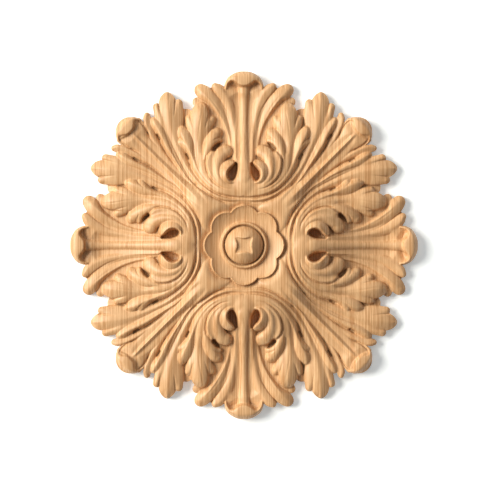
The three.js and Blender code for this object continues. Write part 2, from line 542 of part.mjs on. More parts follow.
// Triangles over one eighth: the outline first, then point after point where the flat triangles
// lie furthest from the carving
function meshEighth() {
  const rim = thinOut(walkOutline(), OUTLINE_TOLERANCE);
  const polygon = [[0, 0], ...rim];
  const net = new Net(1000 * DIAMETER);
  const heights = [0, 0, 0];
  const add = (x, z) => {
    heights.push(surface(x, z).height);
    return net.insert([x, z]);
  };
  add(0, 0);
  let ring = rim.map(([x, z]) => add(x, z));
  const count = Math.ceil(DIAMETER / 2 / SAMPLE_STEP);
  const samples = [];
  for (let i = 0; i <= count; i++) {
    samples.push([]);
    for (let j = 0; j <= count; j++) {
      const here = j >= i ? surface(i * SAMPLE_STEP, j * SAMPLE_STEP) : null;
      samples[i].push(here && here.inside > RIM_MARGIN ? here.height : null);
    }
  }
  const worstIn = ({ corners }) => {
    const [a, b, c] = corners.map((k) => net.points[k]);
    const [ha, hb, hc] = corners.map((k) => heights[k]);
    const area = (b[0] - a[0]) * (c[1] - a[1]) - (c[0] - a[0]) * (b[1] - a[1]);
    let worst = { error: 0 };
    const from = Math.max(Math.ceil(Math.min(a[0], b[0], c[0]) / SAMPLE_STEP), 0);
    const to = Math.min(Math.floor(Math.max(a[0], b[0], c[0]) / SAMPLE_STEP), count);
    const low = Math.max(Math.ceil(Math.min(a[1], b[1], c[1]) / SAMPLE_STEP), 0);
    const high = Math.min(Math.floor(Math.max(a[1], b[1], c[1]) / SAMPLE_STEP), count);
    for (let i = from; i <= to; i++) {
      for (let j = low; j <= high; j++) {
        const height = samples[i][j];
        if (height === null) {
          continue;
        }
        const x = i * SAMPLE_STEP;
        const z = j * SAMPLE_STEP;
        const shareC = ((b[0] - a[0]) * (z - a[1]) - (x - a[0]) * (b[1] - a[1])) / area;
        const shareB = ((x - a[0]) * (c[1] - a[1]) - (c[0] - a[0]) * (z - a[1])) / area;
        if (shareB < -1e-9 || shareC < -1e-9 || shareB + shareC > 1 + 1e-9) {
          continue;
        }
        const off = Math.abs(height - ha - shareB * (hb - ha) - shareC * (hc - ha));
        const error = Math.min(off, LARGEST_ERROR) * Math.sqrt(Math.abs(area));
        if (error > worst.error && off > SMALLEST_ERROR) {
          worst = { error, x, z };
        }
      }
    }
    return worst;
  };
  while (net.points.length < FACET_POINTS) {
    const found = net.triangles.filter(({ corners }) => Math.min(...corners) > 2).map(worstIn);
    found.sort((one, other) => other.error - one.error);
    const batch = Math.max(Math.floor(net.points.length * BATCH_SHARE), 1);
    const room = FACET_POINTS - net.points.length;
    const chosen = found.slice(0, Math.min(batch, room)).filter((one) => one.error > 0);
    const taken = new Set();
    for (const { x, z } of chosen) {
      if (!taken.has(`${x} ${z}`)) {
        add(x, z);
      }
      taken.add(`${x} ${z}`);
    }
    if (chosen.length === 0) {
      break;
    }
  }
  // split outline stretches until each one is an edge of the net
  let isWhole = false;
  while (!isWhole) {
    const edges = new Set();
    for (const { corners: [a, b, c] } of net.triangles) {
      for (const [from, to] of [[a, b], [b, c], [c, a]]) {
        edges.add(`${from} ${to}`).add(`${to} ${from}`);
      }
    }
    isWhole = true;
    const next = [ring[0]];
    for (let k = 1; k < ring.length; k++) {
      if (!edges.has(`${ring[k - 1]} ${ring[k]}`)) {
        const [ax, az] = net.points[ring[k - 1]];
        const [bx, bz] = net.points[ring[k]];
        next.push(add((ax + bx) / 2, (az + bz) / 2));
        isWhole = false;
      }
      next.push(ring[k]);
    }
    ring = next;
  }
  const triangles = [];
  for (const { corners } of net.triangles) {
    const [a, b, c] = corners.map((k) => net.points[k]);
    const isOurs = Math.min(...corners) > 2;
    if (isOurs && isWithin(polygon, (a[0] + b[0] + c[0]) / 3, (a[1] + b[1] + c[1]) / 3)) {
      const area = (b[0] - a[0]) * (c[1] - a[1]) - (c[0] - a[0]) * (b[1] - a[1]);
      if (Math.abs(area) > 1e-7) {
        triangles.push(area > 0 ? corners : [corners[0], corners[2], corners[1]]);
      }
    }
  }
  return { points: net.points, heights, ring, triangles };
}

// The whole round: eight mirrored copies of the eighth, walls down to the back, and the back
function buildRosette() {
  const eighth = meshEighth();
  const vertices = [];
  const known = new Map();
  const vertexAt = (x, y, z) => {
    const key = `${x.toFixed(4)} ${y.toFixed(4)} ${z.toFixed(4)}`.replaceAll("-0.0000", "0.0000");
    if (!known.has(key)) {
      known.set(key, vertices.length);
      vertices.push([x, y, z]);
    }
    return known.get(key);
  };
  const faces = [];
  const outline = [];
  // each turn has one plain copy and one mirrored over the diagonal
  for (let quarter = 0; quarter < 4; quarter++) {
    const turn = -quarter * Math.PI / 2;
    const cosine = Math.round(Math.cos(turn));
    const sine = Math.round(Math.sin(turn));
    for (const isSwapped of [false, true]) {
      const place = ([x, z]) => {
        const [px, pz] = isSwapped ? [z, x] : [x, z];
        return [px * cosine - pz * sine, px * sine + pz * cosine];
      };
      for (const corners of eighth.triangles) {
        const face = corners.map((k) => {
          const [x, z] = place(eighth.points[k]);
          return vertexAt(x, -eighth.heights[k], z);
        });
        faces.push(isSwapped ? [face[0], face[2], face[1]] : face);
      }
      const ring = isSwapped ? [...eighth.ring].reverse() : eighth.ring;
      for (const k of ring.slice(0, -1)) {
        const [x, z] = place(eighth.points[k]);
        outline.push({ x, z, top: vertexAt(x, -eighth.heights[k], z) });
      }
    }
  }
  for (const corner of outline) {
    corner.bottom = vertexAt(corner.x, 0, corner.z);
  }
  outline.forEach((corner, i) => {
    const next = outline[(i + 1) % outline.length];
    faces.push([corner.top, next.top, next.bottom], [corner.top, next.bottom, corner.bottom]);
  });
  const contour = outline.map((corner) => new THREE.Vector2(corner.x, corner.z));
  for (const [a, b, c] of THREE.ShapeUtils.triangulateShape(contour, [])) {
    faces.push([outline[a].bottom, outline[c].bottom, outline[b].bottom]);
  }
  const geometry = new THREE.BufferGeometry();
  geometry.setAttribute("position", new THREE.Float32BufferAttribute(vertices.flat(), 3));
  geometry.setIndex(faces.flat());
  geometry.computeVertexNormals();
  return geometry;
}

const wood = new THREE.MeshStandardMaterial({ color: 0xd19a6b, roughness: 0.5, metalness: 0 });
const rosette = new THREE.Mesh(buildRosette(), wood);
rosette.name = "carved_rosette";

const model = new THREE.Group();
model.add(rosette);
export default model;
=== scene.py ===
import math

import bmesh
import bpy
import numpy as np
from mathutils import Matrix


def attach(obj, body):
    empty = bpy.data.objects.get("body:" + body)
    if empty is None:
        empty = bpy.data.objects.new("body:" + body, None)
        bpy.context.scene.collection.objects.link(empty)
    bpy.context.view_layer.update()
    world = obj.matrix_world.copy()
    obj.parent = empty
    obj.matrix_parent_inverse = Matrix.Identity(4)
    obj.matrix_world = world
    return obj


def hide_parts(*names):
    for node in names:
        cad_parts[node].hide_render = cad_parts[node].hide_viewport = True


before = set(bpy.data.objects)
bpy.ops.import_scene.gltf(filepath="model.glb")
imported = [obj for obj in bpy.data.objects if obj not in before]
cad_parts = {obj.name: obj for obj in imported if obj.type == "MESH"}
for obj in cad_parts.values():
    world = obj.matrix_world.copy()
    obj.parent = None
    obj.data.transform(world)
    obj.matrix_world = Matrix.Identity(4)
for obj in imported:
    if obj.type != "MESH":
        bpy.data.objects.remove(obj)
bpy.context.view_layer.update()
mm = 0.001  # all sizes below are in millimetres
print("frame loaded")

# Carved rosette. The blank, the button, the ring and the flower are in real sizes
rosette = {
    "diameter": 348,
    "edgeThickness": 7,
    "crownHeight": 26.4,
    "buttonDiameter": 37.6,
    "buttonRise": 10,
    "buttonFoot": 4,
    "sinkingWidth": 18.2,
    "sinkingBow": 2.6,
    "sinkingBowPower": 1.5,
    "sinkingBevel": 0.3,
    "sinkingDepth": 4,
    "grooveWidth": 1,
    "grooveDepth": 4,
    "ringWidth": 3.8,
    "ringRise": 4,
    "ringPower": 4,
    "flowerDiameter": 80,
    "flowerFloor": 27,
    "flowerRise": 6,
    "flowerSoftness": 0.5,
    "dishPower": 1.7,
    "rimWidth": 1.8,
    "rimRise": 0.7,
    "petalCount": 8,
    "petalRadius": 16,
    "moatWidth": 9,
    "moatDepth": 4,
    "drawnRadius": 173.7,  # from here to domeShift: in the units of the drawn leaves
    "drawnCrown": 30,
    "bodyRadius": 76,  # disc that closes the ground under the roots
    "bodyHeight": 25.2,
    "bodySink": 4.5,
    "sharpestReach": 0.3,
    "wallSlope": 7,  # down for each one outwards, beyond the reach of a form
    "wallRoom": 1.35,  # a wall is followed for this many reaches and the spare
    "wallSpare": 1,
    "holeSlope": 12,  # up for each one outwards, from the foot of a hole's wall
    "holeInset": 0.6,  # that foot lies this far inside the drawn edge
    "domeEnd": 200,
    "domeStep": 0.5,
    "domeTaps": 4,  # heights taken on either side when the dome's corners are rounded
    "domeShift": 2,
    "gridStep": 0.36,  # how finely the face is worked out before it is thinned
    "gridSpare": 2,
    "eighthShare": 0.39,  # an eighth is less than this share of the diameter wide
    "mirroredRows": 8,  # laid beyond the upright, so that the face stays smooth across it
    "knifeRadius": 0.38,  # corners no sharper than the gouge left them
    "gentlestSlope": 0.3,  # keeps a rim corner near, where the outline is unclear
    "slimmestTriangle": 0.002,  # twice its area, in square millimetres
    "trianglesInAnEighth": 22500,
    "uprightSeam": 0.1,  # corners nearer than this to a seam are laid on it
    "diagonalSeam": 0.12,
    "weldDistance": 0.02,
    "sharpestRimCorner": 95,
    "rimPasses": 8,
    "sharpAngle": 50,  # edges over this many degrees stay crisp
}
nothingYet = -99  # height before any form is laid
wellInside = 50  # more than far enough inside the outline
wellOutside = -9.0

# The leaves are drawn on an eighth of the round, between the upright and the diagonal, and scaled
# from the drawn radius and crown to the real ones. A place on a crest gives its position across
# and up, its reach to the left and to the right, and its height over the blank's edge. Fall is
# the drop from the crest to the left and right edge, power rounds the section, and soft is how
# far a form melts into what lies beside it.
domeCurve = [  # distance from the centre, and height of the dome that the leaves lie on
    (0, 30), (50, 30), (60, 29.3), (70, 26.3), (80, 22.4), (90, 18.6), (100, 15.4), (110, 12.9),
    (120, 11.1), (130, 9.8), (140, 8.7), (150, 7.4), (160, 6), (180, 3.6),
]
# low ground between the leaves
groundForms = [
    {"name": "under the side leaf", "power": 2, "soft": 1, "fall": (0.5, 0.5), "crest": [
        (10, 72, 9, 6, 22), (14, 84, 9, 9, 15), (20, 97, 9, 12, 8.6), (27, 112, 10, 14, 4.4),
        (36, 126, 10, 12, 2.4), (41, 138, 9, 9, 0.6)]},
    {"name": "between the leaves", "power": 2, "soft": 1, "fall": (1, 2.4), "crest": [
        (30, 60, 7, 7, 22), (43, 78, 7, 7, 15), (50, 96, 8, 8, 8.4), (54, 112, 9, 9, 3.2),
        (57, 122, 8.5, 8.6, 1.8), (58, 129, 7.8, 7.6, 1.4)]},
    {"name": "under the diagonal leaf", "power": 2, "soft": 1, "fall": (0.5, 0.5), "crest": [
        (50, 66, 6, 4, 16), (62, 82, 9, 7, 7), (75, 100, 10, 9, 3), (88, 116, 9, 11, 1.5)]},
    {"name": "beside the upright leaf", "power": 2, "soft": 1, "fall": (0.6, 0.6), "crest": [
        (9, 96, 4, 5, 12), (13, 120, 6, 6, 3.4), (20, 140, 8, 8, 0.6), (28, 151, 8.5, 8.5, 0.6)]},
]
# half of the leaf that stands upright, the other half is its mirror image
uprightLeaf = [
    {"name": "base", "power": 2, "soft": 1, "fall": (2, 2), "crest": [
        (0, 49, 22, 22, 27), (0, 56, 22, 22, 29.2), (0, 64, 13, 13, 30.9),
        (0, 70, 7.4, 7.4, 30.2)]},
    {"name": "trough", "power": 3, "soft": 1, "fall": (-1.2, -1.2), "crest": [
        (0, 70, 4.6, 4.6, 25.4), (0, 78, 6, 6, 23.4), (0, 86, 8.6, 8.6, 19.4),
        (0, 100, 9, 9, 12.6), (0, 110, 9.4, 9.4, 8.2), (0, 120, 9.8, 9.8, 4.8),
        (0, 130, 10.6, 10.6, 2), (0, 140, 12.6, 12.6, 0.2), (0, 148, 15.4, 15.4, -0.2),
        (0, 155, 18.4, 18.4, 2)]},
    {"name": "midrib", "power": 2.4, "soft": 0.6, "fall": (3.6, 3.6), "crest": [
        (0, 62, 13, 13, 30.4), (0, 67, 8.6, 8.6, 30.8), (0, 74, 6.6, 6.6, 28.6),
        (0, 82, 5.4, 5.4, 24.8), (0, 92, 4.8, 4.8, 20), (0, 110, 4.4, 4.4, 11.6),
        (0, 130, 4.4, 4.4, 5.2), (0, 145, 4.8, 4.8, 3.8), (0, 154, 5.4, 5.4, 6.2),
        (0, 163, 6, 6, 10)]},
    {"name": "inner finger", "power": 1.5, "soft": 0.5, "fall": (2.4, 2.2), "crest": [
        (8.6, 86, 2.6, 3, 18.4), (9, 100, 2.6, 3.4, 12), (9.8, 115, 3, 4, 7.2),
        (12, 130, 3.6, 5, 4.8), (14.8, 140, 4.6, 6.4, 4.2), (18.6, 149.6, 4.6, 8, 4.5),
        (23.8, 156.4, 4, 7, 5), (28.4, 159.2, 3, 4.2, 4.6)]},
    {"name": "outer finger", "power": 1.7, "soft": 0.4, "fall": (3.2, 4.6), "crest": [
        (12.4, 90, 3, 1.6, 14.6), (14, 102, 3.6, 1.9, 9.6), (16.4, 112, 4.4, 2.1, 7.2),
        (20, 122, 5.4, 2.2, 5.6), (25, 131.4, 6.6, 2.4, 5.4), (30.4, 139.6, 7.8, 2.7, 6.2),
        (36, 147, 8.6, 3.8, 6.6), (40.6, 152, 8, 6.4, 5.4), (43.4, 155.2, 6.4, 6.4, 3.6)]},
    {"name": "small lobe beside the outer finger", "power": 2, "soft": 0.5, "fall": (1.5, 1.5), "crest": [
        (34, 136, 5, 6, 1.6), (41, 140.6, 5.6, 6.4, 1.6), (47, 143.8, 4.4, 4.6, 0.8)]},
    {"name": "rolled over tip", "power": 2.2, "soft": 0.3, "fall": (6.6, 1), "crest": [
        (-5, 167.5, 5.8, 5.8, 11), (0, 167.2, 6.5, 8, 11.2), (5, 167.5, 5.8, 5.8, 11),
        (9.6, 167, 4.4, 3, 10.2), (14, 165.2, 3.2, 1.6, 8.4), (17.4, 161.2, 1.9, 1.4, 6.4),
        (18.4, 156.6, 1.3, 1.2, 4.8)]},
]
# side leaf with its curl
sideLeaf = [
    {"name": "root", "power": 2, "soft": 1, "fall": (1, 1), "crest": [
        (4, 56, 8, 8, 29), (20, 58, 7, 7, 29.2), (33, 66, 6, 6, 24.2), (41, 80, 6, 6, 18.6),
        (46, 94, 5, 5, 13)]},
    {"name": "outer lobe", "power": 1.7, "soft": 0.5, "fall": (3.6, 4.4), "crest": [
        (6, 50.6, 2, 2.4, 28.4), (22, 52.8, 2.8, 3.2, 29.4), (31, 57.2, 2.8, 3.6, 27.6),
        (37.4, 62.8, 2.8, 4.2, 24.8), (43, 70.2, 3, 4.8, 21.4), (47.6, 78.4, 3, 5, 18),
        (51, 86.6, 3, 3.4, 16), (54.2, 94, 4.8, 2.8, 15), (57.4, 101, 6.8, 4.4, 14.4),
        (60.2, 107.6, 7.2, 4.4, 13.4), (62, 112.6, 5.8, 4.4, 11.8), (62.4, 115.2, 4.4, 3.8, 10.2)]},
    {"name": "outer lobe tooth", "power": 1.8, "soft": 0.6, "fall": (2, 2.4), "crest": [
        (55.4, 95.6, 4, 2.6, 13.4), (59.4, 99.8, 3.8, 2.8, 12.2), (62.8, 102.8, 3, 3, 10.8)]},
    {"name": "tall lobe", "power": 1.6, "soft": 0.6, "fall": (3.8, 4.8), "crest": [
        (14, 54, 3, 3, 28.4), (24, 57, 3.8, 3.6, 29), (33, 62.4, 4.8, 4.4, 26),
        (39.6, 70.4, 6, 5, 22.4), (42.8, 80, 6.4, 5.6, 19.4), (44.4, 90, 6.4, 6, 16.2),
        (45.6, 100, 6.4, 6.4, 13.4), (45.6, 109, 9, 8.4, 12.8), (45, 117, 10.4, 9.8, 13.2),
        (44.2, 124, 9.4, 9.8, 13), (43.6, 130.6, 8, 9.6, 11.8), (43.4, 135.2, 6.8, 7.4, 10),
        (43.2, 138.2, 4, 4.8, 7.8)]},
    {"name": "tall lobe inner tooth", "power": 1.8, "soft": 0.7, "fall": (2.8, 2.6), "crest": [
        (42, 111, 5, 5, 11), (37, 119.4, 5.4, 5, 10.2), (32.4, 125.6, 3.9, 3.7, 7.8)]},
    {"name": "tall lobe outer tooth", "power": 1.8, "soft": 0.7, "fall": (2.6, 2.8), "crest": [
        (48, 111, 4.6, 5.4, 11.4), (52, 119.4, 5, 5.2, 10.4), (54.8, 126, 4.1, 3.9, 8)]},
    {"name": "root of the second lobe", "power": 2, "soft": 1, "fall": (2.4, 0.8), "crest": [
        (33.4, 66, 1.8, 4, 24.2), (37.8, 73, 2.2, 5, 22), (40, 80, 2.8, 5.4, 20),
        (40.6, 88, 3.4, 5, 17.6)]},
    {"name": "second lobe", "power": 2.1, "soft": 0.6, "fall": (4, 4.6), "crest": [
        (39.4, 86, 2.6, 2.6, 19), (37.2, 95, 5.4, 4.6, 18), (33.4, 103.6, 7, 6.4, 15.8),
        (29.8, 109.6, 6.4, 6.2, 13.2), (27.2, 112.2, 5.2, 5, 11)]},
    {"name": "second lobe tooth", "power": 2, "soft": 0.6, "fall": (1.8, 1.8), "crest": [
        (32, 101, 4, 4, 15), (28, 103.6, 3.2, 2.8, 13.2), (24.4, 104.8, 2.4, 2.2, 11.2)]},
    {"name": "bed of the curl", "power": 2, "soft": 1, "fall": (1.4, 1), "crest": [
        (16, 58, 4, 3, 29.4), (24, 63, 6, 4, 28.8), (30, 72, 7, 5.4, 26.2),
        (31.4, 81, 7.4, 5.4, 23.6), (30, 87.6, 6, 4.8, 21.2)]},
    {"name": "curl, outer leaf", "power": 1.4, "soft": 0.6, "fall": (1.7, 4.4), "crest": [
        (12, 57, 2, 1.6, 28), (22, 59.6, 3, 2.2, 29.6), (29.6, 65, 3.6, 2.2, 28),
        (34.6, 73, 4, 2, 25.8), (36.4, 81, 4.4, 1.8, 23.8), (35.4, 87.6, 4.4, 1.8, 21.8),
        (32.4, 91.6, 3, 1.6, 20.4)]},
    {"name": "curl, middle leaf", "power": 2, "soft": 0.5, "fall": (4.4, 1.9), "crest": [
        (13, 59.6, 2, 2, 27.6), (20, 61.8, 3.2, 3, 29.8), (25.8, 69, 4, 3, 29.4),
        (27.6, 77, 5.4, 3, 27.2), (26.2, 85, 6.4, 4.2, 24.6), (22, 91, 6.6, 6.2, 21.4),
        (18.4, 93, 6.4, 6.4, 19.6)]},
    {"name": "curl, inner leaf", "power": 1.7, "soft": 0.3, "fall": (2.6, 5), "crest": [
        (10.4, 62, 1.4, 2, 29), (13.8, 62.6, 1.6, 2.8, 31), (16.6, 65.6, 1.4, 4.6, 32.4),
        (17.8, 70, 1.2, 6.4, 32.8), (17, 74, 1.2, 7.2, 32.2), (14.4, 77.6, 1.3, 6.8, 30.6),
        (11.8, 80, 1.4, 4.8, 28.6), (10.6, 81.6, 1, 2.4, 26.6)]},
]
# half of the leaf on the diagonal, mirrored in the same way
diagonalLeaf = [
    {"name": "star body", "power": 5, "soft": 0.6, "fall": (3, 3), "crest": [
        (20, 20, 18, 18, 27.6), (26, 26, 16.6, 16.6, 28.8), (31.5, 31.5, 14.8, 14.8, 29.4),
        (38, 38, 11.4, 11.4, 29.8), (46.5, 46.5, 8.8, 8.8, 29.2), (53, 53, 7, 7, 25.2),
        (58, 58, 5, 5, 20.6)]},
    {"name": "midrib", "power": 1.5, "soft": 0.8, "fall": (4.6, 4.6), "crest": [
        (44, 44, 8.6, 8.6, 29.2), (50, 50, 8.2, 8.2, 27.8), (55.5, 55.5, 7.6, 7.6, 24.4),
        (60, 60, 7.3, 7.3, 21.2), (65, 65, 7.5, 7.5, 18), (71, 71, 8.3, 8.3, 14.9),
        (76.5, 76.5, 9.1, 9.1, 12.7), (82, 82, 9.8, 9.8, 11.1), (88, 88, 10.2, 10.2, 9.9),
        (95, 95, 10, 10, 9), (102, 102, 10.2, 10.2, 8.6), (106, 106, 11.2, 11.2, 8.8),
        (110, 110, 13, 13, 9.6), (114, 114, 14, 14, 10.8)]},
    {"name": "tall lobe", "power": 1.4, "soft": 0.5, "fall": (4, 4.2), "crest": [
        (-6, 44.6, 1.9, 1.9, 27.6), (0, 44.6, 1.9, 1.9, 27.6), (12, 44.9, 2.2, 2, 28.2),
        (20, 46.2, 2.6, 2.6, 28.8), (28.4, 49.3, 2.7, 2.7, 28), (37, 54.8, 2.9, 3, 25),
        (44, 60.8, 3.4, 3.4, 21.2), (51, 69, 4, 3.8, 17), (57, 77.8, 4.8, 4.4, 13.2),
        (62.2, 88, 6, 4.8, 10.8), (67.2, 100, 7.8, 6, 9.4), (71.6, 112, 10, 7.6, 8.8),
        (74.2, 123, 11.6, 9.6, 8.8), (75.6, 134, 11.6, 9.8, 8), (76.6, 142.4, 9, 8.6, 5.8),
        (77, 147, 6.2, 6, 4), (77, 150.4, 3.2, 3.2, 2.6), (77, 152.4, 1, 1, 1.6)]},
    {"name": "tall lobe left tooth", "power": 1.8, "soft": 0.7, "fall": (2.8, 2.4), "crest": [
        (70, 114, 8, 8, 7), (66.6, 128, 6.6, 6, 6.4), (65.3, 142.2, 3.9, 4.1, 4)]},
    {"name": "tall lobe right tooth", "power": 1.8, "soft": 0.7, "fall": (2.6, 3), "crest": [
        (78, 112, 6.6, 6, 6.8), (83.6, 126, 6, 4.8, 6.6), (87.4, 138, 4.4, 3.8, 4.6)]},
    {"name": "second lobe", "power": 1.6, "soft": 0.5, "fall": (4.2, 4), "crest": [
        (43, 53.4, 1.4, 1.6, 23.4), (48, 57.4, 1.8, 2, 22.2), (53, 62.4, 2.2, 2.4, 19.6),
        (58, 68.4, 2.8, 2.8, 16.8), (63, 75.8, 3.6, 3, 13.8), (68.4, 84.8, 4.8, 3.2, 11.8),
        (73.2, 92.4, 5.6, 3.6, 10.8), (78.4, 101, 6.4, 3.4, 10.4), (82.2, 109, 6.2, 3, 10),
        (86, 116.6, 6.4, 3.6, 9.2), (88.8, 121.4, 5.6, 4.2, 8.2), (90.2, 124.2, 4.2, 4, 6.8)]},
    {"name": "third lobe", "power": 1.6, "soft": 0.6, "fall": (3, 2), "crest": [
        (80, 91, 2.4, 2.4, 6.4), (87, 101, 4, 2.8, 6), (92.4, 109, 5, 1.8, 6),
        (95.8, 116, 5.4, 1.6, 5.8), (98.2, 122, 5.8, 1.6, 5.6), (98.8, 127, 5.8, 1.8, 5),
        (97.4, 130, 3.4, 2.6, 3.8)]},
    {"name": "rim beside the midrib", "power": 1.8, "soft": 0.5, "fall": (2, 2), "crest": [
        (97.2, 114, 1.2, 1, 5), (100, 119.4, 1.3, 1.1, 5.2), (102.6, 122.8, 1.8, 1.3, 5.6),
        (105.4, 125, 2.4, 1.8, 5.8)]},
    {"name": "rolled over tip", "power": 2.2, "soft": 0.3, "fall": (1, 6.6), "crest": [
        (121.6, 115.4, 5.2, 5.4, 12.2), (118.2, 118.2, 7.4, 6.4, 12.6),
        (115.4, 121.6, 5.4, 5.2, 12.2), (112, 124.8, 3, 3.4, 10.8), (108.6, 125.8, 1.8, 2.2, 9),
        (105, 124.6, 1.3, 1.8, 7.2), (102.2, 121.6, 1, 1.4, 6.2)]},
]
# holes and slits cut deep beside the leaves, the last number is the height of the floor; their
# walls are steeper than the solid's, and the last two holes are shorter and deeper
hollows = [
    {"name": "eye of the curl", "path": [
        (12.2, 67.2, 2.8, 2.8, 12), (12, 69.8, 3.8, 3.8, 11), (11, 73, 3.8, 3.6, 11),
        (9.4, 76.8, 2.6, 2.2, 12), (8, 81, 1.6, 1.2, 14)]},
    {"name": "slit over the curl", "path": [
        (24, 102.2, 0.8, 0.8, 5), (27, 99.2, 1.8, 1.8, 4), (30.4, 95.6, 1.6, 1.6, 5)]},
    {"name": "slit below the outer lobe", "path": [
        (55.2, 86.4, 1.4, 1.4, 5.2), (57.4, 90.4, 1.6, 1.6, 5)]},
    {"name": "eye beside the second lobe", "path": [
        (84.2, 106, 1.5, 1.5, 1), (86.8, 110, 1.6, 1.6, 0.8)]},
]
# thin lines cut with the veiner, valleys beside the diagonal midrib and under the small holes,
# and dips behind the rolled over tips, all finer than the solid; the last number is the depth
grooves = [
    {"name": "between the curl and the side leaf", "path": [
        (13, 55.2, 0.6, 0.6, 0.3), (20, 56.4, 0.9, 0.9, 1.2), (25, 58.7, 1, 1, 1.8),
        (30, 62.9, 1.1, 1.1, 2), (34, 68, 1.1, 1.1, 2), (37, 74.6, 1, 1, 1.8), (38, 82, 1, 1, 1.6),
        (37.6, 89, 0.8, 0.8, 0.8)]},
    {"name": "round the side leaf", "path": [
        (-5, 47.2, 1, 1, 1.4), (5, 47.2, 1, 1, 1.4), (12, 47.5, 1, 1, 1.4), (20, 48.9, 1, 1, 1.4),
        (28, 51.8, 1.1, 1.1, 1.6), (35, 56.2, 1.2, 1.2, 1.8), (40, 60.9, 1.2, 1.2, 1.8),
        (45, 66.6, 1.2, 1.2, 1.8), (50, 73.6, 1.1, 1.1, 1.8), (54, 80.4, 1, 1, 1.6),
        (57, 87, 0.7, 0.7, 0.8)]},
    {"name": "round the diagonal leaf", "path": [
        (7, 42.6, 0.8, 0.8, 0.8), (14, 42.6, 1, 1, 1.4), (20, 43.5, 1, 1, 1.6), (25, 45, 1, 1, 1.6),
        (30, 47.1, 1, 1, 1.6), (35, 49.7, 1, 1, 1.6), (40, 53, 1, 1, 1.6), (45, 56.9, 1, 1, 1.6),
        (50, 61.4, 1, 1, 1.6), (55, 67, 1, 1, 1.5), (60, 73.6, 1, 1, 1.4), (65, 81.6, 1, 1, 1.2),
        (70, 90.8, 1, 1, 1.2), (74, 100, 1, 1, 1.2), (77.4, 109, 0.9, 0.9, 1),
        (80, 117, 0.7, 0.7, 0.5)]},
    {"name": "under the rolled over tip", "path": [
        (92.6, 105, 0.7, 0.7, 0.6), (95.2, 110, 1, 1, 1.8), (98, 115.6, 1.1, 1.1, 2.4),
        (101, 120, 1.2, 1.2, 2.6), (104, 123.2, 1.2, 1.2, 2.4), (107.4, 125, 0.7, 0.7, 1)]},
    {"name": "vein of the side leaf", "path": [
        (46.4, 100, 0.6, 0.6, 0.2), (44.4, 118, 0.8, 0.8, 0.6), (42.4, 130, 0.8, 0.8, 0.6),
        (42, 137, 0.6, 0.6, 0.3)]},
    {"name": "beside the inner tooth", "path": [
        (38.6, 116, 0.7, 0.7, 0.3), (36.6, 124, 1, 1, 1.4), (35.2, 129, 0.9, 0.9, 2)]},
    {"name": "beside the outer tooth", "path": [
        (50.8, 118, 0.7, 0.7, 0.3), (52.6, 125.6, 0.9, 0.9, 1.4), (53.6, 130, 0.9, 0.9, 1.8)]},
    {"name": "beside the outer lobe's tooth", "path": [
        (56.4, 98, 0.6, 0.6, 0.4), (59.6, 102.4, 0.9, 0.9, 1.2), (62.6, 105.6, 1, 1, 2),
        (64.6, 107, 0.8, 0.8, 2)]},
    {"name": "beside the second lobe's tooth", "path": [
        (31, 104, 0.6, 0.6, 0.4), (27.6, 106, 1, 1, 1.4), (24.4, 107.6, 0.9, 0.9, 2)]},
    {"name": "beside the left tooth", "path": [
        (69.8, 128, 0.7, 0.7, 0.3), (68.8, 138, 0.9, 0.9, 1.4), (68.6, 145, 0.9, 0.9, 2)]},
    {"name": "beside the right tooth", "path": [
        (82.4, 128, 0.7, 0.7, 0.3), (84.4, 136, 0.9, 0.9, 1.4), (85.6, 142, 0.9, 0.9, 2)]},
    {"name": "vein of the outer finger", "path": [
        (20.6, 126, 0.8, 0.8, 0.2), (26, 136, 1, 1, 0.5), (32, 144.4, 1, 1, 0.5),
        (37.6, 150.6, 0.8, 0.8, 0.2)]},
    {"name": "beside the inner finger", "path": [
        (13.6, 124, 0.7, 0.7, 0.6), (18, 136, 0.9, 0.9, 1.2), (24, 146, 1, 1, 1.6),
        (31, 154.6, 1, 1, 1.8), (33.4, 159, 0.7, 0.7, 1.2)]},
    {"name": "behind the upright rolled over tip", "path": [
        (-6, 158.4, 1.5, 6, 2.6), (0, 157.8, 1.5, 6, 2.6), (6, 158.4, 1.5, 6, 2.6),
        (10.6, 160.2, 1.5, 5, 2.2), (14, 161.2, 1.2, 3, 0.8)]},
    {"name": "behind the diagonal rolled over tip", "path": [
        (116, 109, 6, 1.5, 2.4), (112.5, 112.5, 6, 1.5, 2.6), (109, 116, 6, 1.5, 2.6),
        (106.8, 120, 5, 1.5, 2.4), (105.4, 123.6, 4, 1.2, 1.6)]},
    {"name": "beside the diagonal midrib", "path": [
        (38, 44.4, 2, 3.6, 0.6), (46, 53.3, 3.4, 4.6, 2.2), (54.1, 61.4, 4, 4.6, 2.6),
        (66.4, 72, 4.6, 3.8, 2.6), (82.7, 86.9, 5, 2.8, 2.4), (93.6, 97.8, 5, 2.8, 2.2),
        (103, 106.6, 4, 2.4, 1.8), (108, 111, 2, 2, 0.8)]},
    {"name": "below the small eye", "path": [
        (55.4, 66.8, 1.2, 1.2, 0.4), (62.2, 73.8, 1.8, 1.8, 1.3), (72, 84.7, 2, 2, 1.9),
        (79.6, 96.4, 2, 2, 1.9), (83.6, 104.6, 1.6, 1.6, 1.5)]},
]
drawnScale = rosette["diameter"] / 2 / rosette["drawnRadius"]
heightScale = rosette["crownHeight"] / rosette["drawnCrown"]


def domeSamples():
    # the dome with its corners rounded off by averaging over a short stretch
    far, high = np.array(domeCurve, float).T
    at = np.arange(0, rosette["domeEnd"], rosette["domeStep"])
    taps = rosette["domeTaps"]
    shifts = range(-taps, taps + 1)
    weights = np.array([taps + 1 - abs(k) for k in shifts])
    heights = [np.interp(np.abs(at + rosette["domeShift"] * k), far, high) for k in shifts]
    return at, weights @ np.array(heights) / weights.sum()


domeAt, domeHigh = domeSamples()


def domeHeight(distance):
    # height of the dome that the leaves lie on, at this distance from the centre
    return np.interp(distance, domeAt, domeHigh)


